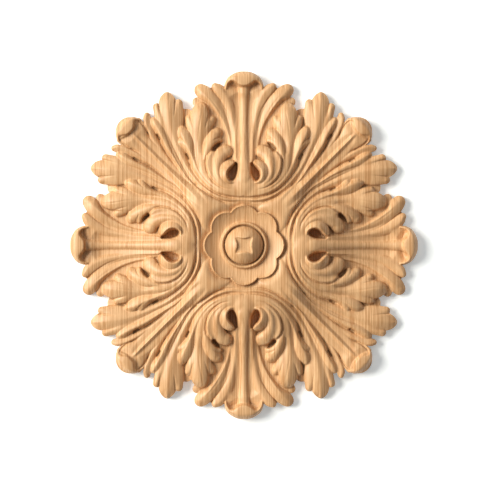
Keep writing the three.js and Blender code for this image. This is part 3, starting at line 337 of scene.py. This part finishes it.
def smoothCrest(places, steps=10):
    # one smooth curve through the places, cut into short steps
    p = np.array(places, float)
    p = np.vstack([2 * p[0] - p[1], p, 2 * p[-1] - p[-2]])
    curve = []
    for a, b, c, d in zip(p, p[1:], p[2:], p[3:]):
        for t in np.arange(steps) / steps:
            curve.append(0.5 * (2 * b + (c - a) * t + (2 * a - 5 * b + 4 * c - d) * t**2
                                + (3 * b - a - 3 * c + d) * t**3))
    return np.array(curve + [p[-2]])


def placeOn(places, points, lies=True):
    # which of the points are near a form, their distance from the crest as a share of its reach,
    # that reach, how far to the left they are, and the crest's height over the dome that it lies
    # on; a groove doesn't lie on it, and gives its own depth there
    curve = smoothCrest(places)
    line = curve[:, :2]
    reaches = np.maximum(curve[:, 2:4], rosette["sharpestReach"])
    rise = curve[:, 4] - lies * domeHeight(np.hypot(line[:, 0], line[:, 1]))
    margin = reaches.max() * rosette["wallRoom"] + rosette["wallSpare"]
    near = np.all((points >= line.min(0) - margin) & (points <= line.max(0) + margin), axis=1)
    index = np.nonzero(near)[0]
    q = points[index]
    share = np.full(len(q), 1e9)
    reach, leftness, crest = np.ones(len(q)), np.zeros(len(q)), np.zeros(len(q))
    for i in range(len(line) - 1):
        step = line[i + 1] - line[i]
        length = max(np.hypot(*step), 1e-6)
        off = q - line[i]
        t = np.clip(off @ step / length**2, 0, 1)
        off = off - t[:, None] * step
        far = np.hypot(off[:, 0], off[:, 1])
        sine = (step[0] * off[:, 1] - step[1] * off[:, 0]) / (length * np.maximum(far, 1e-6))
        left = 0.5 + 0.5 * np.clip(sine, -1, 1)
        sides = reaches[i] + t[:, None] * (reaches[i + 1] - reaches[i])
        here = left * sides[:, 0] + (1 - left) * sides[:, 1]
        closer = far / here < share
        share = np.where(closer, far / here, share)
        reach = np.where(closer, here, reach)
        leftness = np.where(closer, left, leftness)
        crest = np.where(closer, rise[i] + t * (rise[i + 1] - rise[i]), crest)
    return index, share, reach, leftness, crest


def melt(a, b, soft):
    # the higher of two heights, with the corner between them rounded
    overlap = np.maximum(soft - np.abs(a - b), 0) / soft
    return np.maximum(a, b) + overlap**2 * soft / 4


def carveLeaves(points):
    # leaves and ground as drawn: height over the blank's edge, and how far inside the outline
    r = rosette
    distance = np.hypot(points[:, 0], points[:, 1])
    dome = domeHeight(distance)
    body = np.minimum(r["bodyHeight"], dome - r["bodySink"])
    height = np.where(distance < r["bodyRadius"], body, nothingYet)
    inside = r["bodyRadius"] - distance
    for form in groundForms + uprightLeaf + sideLeaf + diagonalLeaf:
        index, share, reach, left, crest = placeOn(form["crest"], points)
        fall = left * form["fall"][0] + (1 - left) * form["fall"][1]
        wall = r["wallSlope"] * reach * np.maximum(share - 1, 0)
        top = dome[index] + crest - fall * np.minimum(share, 1) ** form["power"] - wall
        height[index] = melt(height[index], top, form["soft"])
        inside[index] = np.maximum(inside[index], (1 - share) * reach)
    for hollow in hollows:
        index, share, reach, left, crest = placeOn(hollow["path"], points)
        side = r["holeSlope"] * np.maximum((share - 1) * reach + r["holeInset"], 0)
        height[index] = np.minimum(height[index], dome[index] + crest + side)
    for groove in grooves:
        index, share, reach, left, depth = placeOn(groove["path"], points, lies=False)
        height[index] -= depth * np.maximum(1 - share, 0)
    return height, inside


def carveFlower(x, z):
    # button with its bowed square sinking, the ring round it and the dish with its petals: their
    # height over the back, where they are the face, and how deep the moat round them is cut
    r = rosette
    floor = r["flowerFloor"]
    buttonRadius = r["buttonDiameter"] / 2
    ringStart = buttonRadius + r["grooveWidth"]
    ringEnd = ringStart + r["ringWidth"]
    petalCentre = r["flowerDiameter"] / 2 - r["petalRadius"]
    distance = np.hypot(x, z)
    turn = 2 * math.pi / r["petalCount"]
    angle = np.arctan2(z, x)
    off = angle - np.round(angle / turn) * turn
    inset = r["petalRadius"] - np.hypot(distance * np.cos(off) - petalCentre, distance * np.sin(off))
    inset = np.where(distance < petalCentre, r["petalRadius"], inset)

    outward = np.maximum((distance - ringEnd) / (r["flowerDiameter"] / 2 - ringEnd), 0)
    dish = floor + r["flowerRise"] * outward ** r["dishPower"]
    acrossRim = np.minimum(2 * inset / r["rimWidth"] - 1, 1)
    acrossRing = 2 * (distance - ringStart) / r["ringWidth"] - 1
    ring = floor + r["ringRise"] * (1 - acrossRing ** r["ringPower"])
    height = melt(dish + r["rimRise"] * (1 - acrossRim**2), ring, r["flowerSoftness"])
    height = np.where(distance < ringStart, floor + r["buttonFoot"] - r["grooveDepth"], height)

    top = floor + r["buttonFoot"] + r["buttonRise"]
    button = top - r["buttonRise"] * (distance / buttonRadius) ** 2
    longer, shorter = np.maximum(abs(x), abs(z)), np.minimum(abs(x), abs(z))
    half = r["sinkingWidth"] / 2
    bowed = half - r["sinkingBow"] * (1 - (shorter / half) ** r["sinkingBowPower"])
    sunk = top - r["sinkingDepth"] + np.maximum(r["sinkingBevel"] - (bowed - longer), 0)
    button = np.where(longer < bowed, np.minimum(button, sunk), button)
    height = np.where(distance < buttonRadius, button, height)
    isFlower = (inset > 0) & (distance < r["flowerDiameter"] / 2)
    moat = r["moatDepth"] * np.maximum(1 + inset / r["moatWidth"], 0) ** 2
    moat = np.where(distance < r["flowerDiameter"], moat, 0)
    return height, isFlower, moat


def carve(points):
    # height of the face over the back, and how far inside the outline, for points in an eighth
    leaf, inside = carveLeaves(points / drawnScale)
    flower, isFlower, moat = carveFlower(points[:, 0], points[:, 1])
    height = rosette["edgeThickness"] + leaf * heightScale - moat
    height = np.where(isFlower, flower, height)
    return height, np.where(isFlower, wellInside, inside * drawnScale)


def softened(grid, weight, radius):
    # rounds the sharpest corners the way a gouge and sandpaper do, by a blur of this radius
    # inside the outline that takes in three times its radius on either side
    reach = math.ceil(3 * radius)
    taps = np.exp(-0.5 * (np.arange(-reach, reach + 1) / radius) ** 2)
    for axis in (0, 1):
        total, share = 0, 0
        for k, tap in zip(range(-reach, reach + 1), taps):
            moved = np.roll(grid * weight, k, axis)
            total = total + tap * moved
            share = share + tap * np.roll(weight, k, axis)
        grid = total / np.maximum(share, 1e-9)
        weight = np.minimum(share, 1)
    return grid


def eighthMesh():
    # the face of one eighth as a mesh, on a square grid between the upright and the diagonal
    step = rosette["gridStep"]
    count = math.ceil((rosette["diameter"] / 2 + rosette["gridSpare"]) / step)
    pad = rosette["mirroredRows"]
    i, j = np.meshgrid(np.arange(count), np.arange(count), indexing="ij")
    wanted = (i <= j) & (i * step < rosette["diameter"] * rosette["eighthShare"])
    spots = np.stack([i[wanted], j[wanted]], axis=1) * step
    height, inside = np.zeros(i.shape), np.full(i.shape, wellOutside)
    height[wanted], inside[wanted] = carve(spots)
    for grid in (height, inside):
        grid[:] = np.where(i <= j, grid, grid.T)
    mirrored = [np.pad(grid, ((pad, 0), (pad, 0)), mode="reflect") for grid in (height, inside > 0)]
    smooth = softened(mirrored[0], mirrored[1].astype(float), rosette["knifeRadius"] / step)
    height = smooth[pad:, pad:]

    # corners just outside slide onto the outline
    du, dv = np.gradient(inside, step)
    slope = np.maximum(du**2 + dv**2, rosette["gentlestSlope"])
    isIn = inside > 0
    near = np.zeros_like(isIn)
    for a in (-1, 0, 1):
        for b in (-1, 0, 1):
            near |= np.roll(isIn, (a, b), (0, 1))
    rim = near & ~isIn & (i <= j)
    u, v = i * step, j * step
    u = np.where(rim, u - np.clip(inside * du / slope, -step, step), u)
    v = np.where(rim, v - np.clip(inside * dv / slope, -step, step), v)
    u[0] = 0
    onDiagonal = i == j
    middle = (u + v) / 2
    u, v = np.where(onDiagonal, middle, u), np.where(onDiagonal, middle, v)
    height[rim] = carve(np.stack([u[rim], v[rim]], axis=1))[0]

    # two triangles for each square of the grid that has wood under it
    kept = (isIn | rim) & (i <= j)
    number = np.full(i.shape, -1)
    number[kept] = np.arange(kept.sum())
    corners = np.stack([u[kept], -height[kept], v[kept]], axis=1)
    faces = []
    here, right, up, across = (number[:-1, :-1], number[1:, :-1], number[:-1, 1:], number[1:, 1:])
    for a, b, c in ((here, right, across), (here, across, up)):
        three = np.stack([a.ravel(), b.ravel(), c.ravel()], axis=1)
        faces.append(three[(three >= 0).all(axis=1)])
    faces = np.vstack(faces)
    a, b, c = (corners[faces[:, k]][:, [0, 2]] for k in range(3))
    area = (b[:, 0] - a[:, 0]) * (c[:, 1] - a[:, 1]) - (c[:, 0] - a[:, 0]) * (b[:, 1] - a[:, 1])
    touchesWood = isIn[kept][faces].any(axis=1)
    faces = faces[touchesWood & (area > rosette["slimmestTriangle"])]
    used = np.unique(faces)
    renumber = np.full(len(corners), -1)
    renumber[used] = np.arange(len(used))
    mesh = bpy.data.meshes.new("eighth")
    mesh.from_pydata((corners[used] * mm).tolist(), [], renumber[faces].tolist())
    return mesh


def thinned(mesh, triangles):
    # the same face with fewer triangles, small ones where it bends and large ones where it doesn't
    helper = bpy.data.objects.new("helper", mesh)
    bpy.context.scene.collection.objects.link(helper)
    thin = helper.modifiers.new("thin", "DECIMATE")
    thin.ratio = min(triangles / len(mesh.polygons), 1)
    evaluated = helper.evaluated_get(bpy.context.evaluated_depsgraph_get())
    result = bpy.data.meshes.new_from_object(evaluated)
    bpy.data.objects.remove(helper)
    return result


def openRings(form):
    # rings of corners along the open edges, the longest first; a ring that touches itself is parted
    openEdges = [edge for edge in form.edges if edge.is_boundary]
    left = set(openEdges)
    rings = []
    for start in openEdges:
        if start not in left:
            continue
        ring = [start.verts[0]]
        place = {ring[0]: 0}
        following = [start]
        while following:
            left.remove(following[0])
            corner = following[0].other_vert(ring[-1])
            if corner in place:
                loop = ring[place[corner]:]
                ring = ring[:place[corner] + 1]
                for passed in loop[1:]:
                    del place[passed]
                rings.append(loop)
            else:
                place[corner] = len(ring)
                ring.append(corner)
            following = [edge for edge in ring[-1].link_edges if edge in left]
    return sorted(rings, key=len, reverse=True)


def combed(outline):
    # rim corners that fold back over their neighbours are laid between them
    for turn in range(rosette["rimPasses"]):
        for k in range(len(outline)):
            before = outline[k - 1].co
            here = outline[k].co
            after = outline[(k + 1) % len(outline)].co
            bend = (here.xz - before.xz).angle(after.xz - here.xz, math.pi)
            if bend > math.radians(rosette["sharpestRimCorner"]):
                outline[k].co = (before + after) / 2
    return outline


def wholeRound(eighth):
    # eight mirrored copies of the face, walls down to the back, and the flat back
    count = len(eighth.vertices)
    corners = np.empty(count * 3)
    eighth.vertices.foreach_get("co", corners)
    corners = corners.reshape(-1, 3)
    onUpright = np.abs(corners[:, 0]) < rosette["uprightSeam"] * mm
    corners[onUpright, 0] = 0
    onDiagonal = np.abs(corners[:, 0] - corners[:, 2]) < rosette["diagonalSeam"] * mm
    corners[onDiagonal, 0] = corners[onDiagonal, 2] = corners[onDiagonal][:, [0, 2]].mean(axis=1)
    faces = np.array([tuple(p.vertices) for p in eighth.polygons])
    allCorners, allFaces = [], []
    for isSwapped in (False, True):
        for signX in (1, -1):
            for signZ in (1, -1):
                copy = corners[:, [2, 1, 0]].copy() if isSwapped else corners.copy()
                copy[:, 0] *= signX
                copy[:, 2] *= signZ
                isFlipped = (signX * signZ < 0) != isSwapped
                allFaces.append((faces[:, ::-1] if isFlipped else faces) + len(allCorners) * count)
                allCorners.append(copy)
    form = bmesh.new()
    mesh = bpy.data.meshes.new("carvedRosette")
    mesh.from_pydata(np.vstack(allCorners).tolist(), [], np.vstack(allFaces).tolist())
    form.from_mesh(mesh)
    bmesh.ops.remove_doubles(form, verts=form.verts, dist=rosette["weldDistance"] * mm)
    rings = openRings(form)
    for ring in rings[1:]:
        print("pinhole closed, corners:", len(ring))
        form.faces.new(ring)
    outline = combed(rings[0])
    feet = [form.verts.new((corner.co.x, 0, corner.co.z)) for corner in outline]
    for k in range(len(outline)):
        form.faces.new((outline[k - 1], outline[k], feet[k], feet[k - 1]))
    back = form.faces.new(feet[::-1])
    back.normal_update()
    bmesh.ops.triangulate(form, faces=[back], ngon_method="EAR_CLIP")
    bmesh.ops.recalc_face_normals(form, faces=form.faces)
    for face in form.faces:
        face.smooth = True
    for edge in form.edges:
        edge.smooth = edge.calc_face_angle(0) < math.radians(rosette["sharpAngle"])
    form.to_mesh(mesh)
    form.free()
    return mesh


eighth = eighthMesh()
print("eighth worked out:", len(eighth.polygons), "triangles")
thinEighth = thinned(eighth, rosette["trianglesInAnEighth"])
carving = bpy.data.objects.new("carvedRosette", wholeRound(thinEighth))
bpy.context.scene.collection.objects.link(carving)
print("rosette carved:", len(carving.data.polygons), "faces")


def linear(hexColour):
    # sRGB hex to the linear numbers that the shader takes
    channels = [int(hexColour[k:k + 2], 16) / 255 for k in (1, 3, 5)]
    return [c / 12.92 if c <= 0.04045 else ((c + 0.055) / 1.055) ** 2.4 for c in channels] + [1]


def addNode(tree, kind, inputs=None, settings=None):
    # one node; an input, by its name or number, takes a socket of another node or a plain value
    node = tree.nodes.new(kind)
    for name, value in (settings or {}).items():
        setattr(node, name, value)
    for name, value in (inputs or {}).items():
        if isinstance(value, bpy.types.NodeSocket):
            tree.links.new(value, node.inputs[name])
        else:
            node.inputs[name].default_value = value
    return node


# Beech, sawn along the grain, carved, sanded and wiped with a thin satin oil. The eye sees a pale
# orange brown with narrow upright streaks and short dark flecks, a soft sheen along the crests,
# and painted shade: a duller brown painted deep between the leaves, where little light reaches
beech = {
    "pale": "#e4b686",
    "dark": "#c18c5b",
    "fleck": "#a87c4e",
    "paintedShadeColour": "#8c7355",
    "ringSpacing": 1.25,
    "ringLength": 160,
    "ringShare": 0.6,
    "fineStreak": 0.42,
    "fineLength": 45,
    "fineShare": 0.4,
    "fleckWidth": 0.4,
    "fleckLength": 5,
    "depthShare": 0.12,  # how fast streaks change from front to back, against from side to side
    "streakRoughness": 0.55,
    "streakWaviness": 0.15,
    "darkTone": 0.4,  # where the streaks are fully dark and fully pale
    "paleTone": 0.58,
    "fleckStart": 0.62,
    "fleckFull": 0.78,
    "fleckStrength": 0.5,
    "paintedShadeReach": 7,
    "paintedShadeRays": 8,
    "paintedShadeStart": 0.7,  # how open a place is where the painted shade starts to darken it, and where it ends
    "paintedShadeFull": 0.2,
    "paintedShadeStrength": 0.5,
    "roughness": 0.46,
    "smootherBy": 0.06,
    "rougherBy": 0.08,
    "grainDepth": 0.06,
    "grainStrength": 0.35,
    "refraction": 1.5,
}


def beechWood():
    # streaked and flecked colour, with painted shade making it darker in the nooks, over a very shallow
    # grain
    b = beech
    material = bpy.data.materials.new("oiledBeech")
    material.use_nodes = True
    tree = material.node_tree
    tree.nodes.clear()
    where = addNode(tree, "ShaderNodeTexCoord").outputs["Object"]

    def streaks(width, length, detail, seed):
        # noise drawn out along the grain, which runs upright
        size = (1 / (width * mm), b["depthShare"] / (width * mm), 1 / (length * mm))
        moved = addNode(tree, "ShaderNodeMapping", {
            "Vector": where, "Location": (seed, 0, 0), "Scale": size})
        return addNode(tree, "ShaderNodeTexNoise", {
            "Vector": moved.outputs[0], "Scale": 1.0, "Detail": detail,
            "Roughness": b["streakRoughness"], "Distortion": b["streakWaviness"]}).outputs[0]

    rings = streaks(b["ringSpacing"], b["ringLength"], detail=2, seed=3)
    fine = streaks(b["fineStreak"], b["fineLength"], detail=3, seed=11)
    flecks = streaks(b["fleckWidth"], b["fleckLength"], detail=1, seed=29)
    scaledRings = addNode(tree, "ShaderNodeMath", {
        0: rings, 1: b["ringShare"], 2: 0.0}, {"operation": "MULTIPLY_ADD"})
    tone = addNode(tree, "ShaderNodeMath", {
        0: fine, 1: b["fineShare"], 2: scaledRings.outputs[0]}, {"operation": "MULTIPLY_ADD"})
    ramp = addNode(tree, "ShaderNodeValToRGB", {"Fac": tone.outputs[0]})
    ends = ramp.color_ramp.elements
    for element, colour, place in zip(ends, ("dark", "pale"), ("darkTone", "paleTone")):
        element.position = b[place]
        element.color = linear(b[colour])
    spots = addNode(tree, "ShaderNodeMapRange", {
        "Value": flecks, "From Min": b["fleckStart"], "From Max": b["fleckFull"],
        "To Max": b["fleckStrength"]}, {"interpolation_type": "SMOOTHSTEP"})
    streaked = addNode(tree, "ShaderNodeMix", {
        0: spots.outputs[0], 6: ramp.outputs[0], 7: linear(b["fleck"])}, {"data_type": "RGBA"})
    # painted shade: the colour turns a duller brown where ambient occlusion finds the place closed in,
    # deep between the leaves
    paintedShadeOcclusion = addNode(tree, "ShaderNodeAmbientOcclusion", {
        "Distance": b["paintedShadeReach"] * mm}, {"samples": b["paintedShadeRays"]})
    paintedShadeAmount = addNode(tree, "ShaderNodeMapRange", {
        "Value": paintedShadeOcclusion.outputs["AO"], "From Min": b["paintedShadeStart"], "From Max": b["paintedShadeFull"],
        "To Max": b["paintedShadeStrength"]}, {"interpolation_type": "SMOOTHSTEP"})
    withPaintedShade = addNode(tree, "ShaderNodeMix", {
        0: paintedShadeAmount.outputs[0], 6: streaked.outputs[2], 7: linear(b["paintedShadeColour"])}, {"data_type": "RGBA"})
    shine = addNode(tree, "ShaderNodeMapRange", {
        "Value": fine, "To Min": b["roughness"] - b["smootherBy"],
        "To Max": b["roughness"] + b["rougherBy"]})
    grain = addNode(tree, "ShaderNodeBump", {
        "Height": fine, "Strength": b["grainStrength"], "Distance": b["grainDepth"] * mm})
    surface = addNode(tree, "ShaderNodeBsdfPrincipled", {
        "Base Color": withPaintedShade.outputs[2], "Roughness": shine.outputs[0], "Normal": grain.outputs[0],
        "IOR": b["refraction"]})
    addNode(tree, "ShaderNodeOutputMaterial", {"Surface": surface.outputs[0]})
    return material


carving.data.materials.append(beechWood())
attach(carving, "root")
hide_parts("carved_rosette")
print("wood finished")

# Stage: a white wall that the rosette hangs on, a big soft lamp on the left and a weak one above.
# The wall glows a little by itself, which keeps the shadow beside the rosette light
stage = {
    "wallWidth": 6000,
    "wallGap": 0.3,
    "wall": "#fdfdff",
    "wallGlow": "#848b8c",
    "world": 0.15,
    "lensLength": 150,
    "sensorWidth": 36,
    "frameWidth": 490,
    "farthestSeen": 20000,
    "aimX": 1.0,
    "aimZ": 0.25,
    "aimHeight": 12,
}
lamps = [  # side, up and front say where a lamp stands, spread is its width in degrees
    {"name": "keyLamp", "side": -1, "up": 0.28, "front": 0.76, "spread": 36, "power": 4.55,
     "colour": "#fffef4"},
    {"name": "topLamp", "side": 0.2, "up": 1, "front": 1, "spread": 60, "power": 0.45,
     "colour": "#ffffff"},
]


def wallMaterial():
    # matt white paint without any sheen, seen from its front only, so that the back of the
    # rosette can be looked at
    material = bpy.data.materials.new("whitePaint")
    material.use_nodes = True
    tree = material.node_tree
    tree.nodes.clear()
    matt = addNode(tree, "ShaderNodeBsdfDiffuse", {"Color": linear(stage["wall"])})
    glow = addNode(tree, "ShaderNodeEmission", {"Color": linear(stage["wallGlow"]), "Strength": 1.0})
    paint = addNode(tree, "ShaderNodeAddShader", {0: matt.outputs[0], 1: glow.outputs[0]})
    clear = addNode(tree, "ShaderNodeBsdfTransparent")
    side = addNode(tree, "ShaderNodeNewGeometry").outputs["Backfacing"]
    mixed = addNode(tree, "ShaderNodeMixShader", {0: side, 1: paint.outputs[0], 2: clear.outputs[0]})
    addNode(tree, "ShaderNodeOutputMaterial", {"Surface": mixed.outputs[0]})
    return material


halfWall = stage["wallWidth"] / 2 * mm
wallCorners = [(x * halfWall, stage["wallGap"] * mm, z * halfWall)
               for x, z in ((-1, -1), (1, -1), (1, 1), (-1, 1))]
wallMesh = bpy.data.meshes.new("wall")
wallMesh.from_pydata(wallCorners, [], [(0, 1, 2, 3)])
wall = bpy.data.objects.new("wall", wallMesh)
wall.data.materials.append(wallMaterial())
bpy.context.scene.collection.objects.link(wall)

for lamp in lamps:
    light = bpy.data.lights.new(lamp["name"], "SUN")
    light.angle = math.radians(lamp["spread"])
    light.energy = lamp["power"]
    light.color = linear(lamp["colour"])[:3]
    holder = bpy.data.objects.new(lamp["name"], light)
    holder.location = (lamp["side"], -lamp["front"], lamp["up"])
    holder.rotation_euler = holder.location.to_track_quat("Z", "Y").to_euler()
    bpy.context.scene.collection.objects.link(holder)

world = bpy.data.worlds.new("softRoom")
world.use_nodes = True
world.node_tree.nodes["Background"].inputs[0].default_value = (1, 1, 1, 1)
world.node_tree.nodes["Background"].inputs[1].default_value = stage["world"]
bpy.context.scene.world = world
bpy.context.scene.view_settings.view_transform = "Standard"
bpy.context.scene.view_settings.look = "None"
print("stage lit")

# Camera straight in front, as the photograph is taken
lens = bpy.data.cameras.new("camera")
lens.lens = stage["lensLength"]
lens.sensor_width = stage["sensorWidth"]
lens.clip_end = stage["farthestSeen"] * mm
cameraDistance = stage["frameWidth"] / 2 * stage["lensLength"] / (stage["sensorWidth"] / 2)
camera = bpy.data.objects.new("camera", lens)
camera.location = (stage["aimX"] * mm, -(cameraDistance + stage["aimHeight"]) * mm, stage["aimZ"] * mm)
camera.rotation_euler = (math.radians(90), 0, 0)
bpy.context.scene.collection.objects.link(camera)
bpy.context.scene.camera = camera
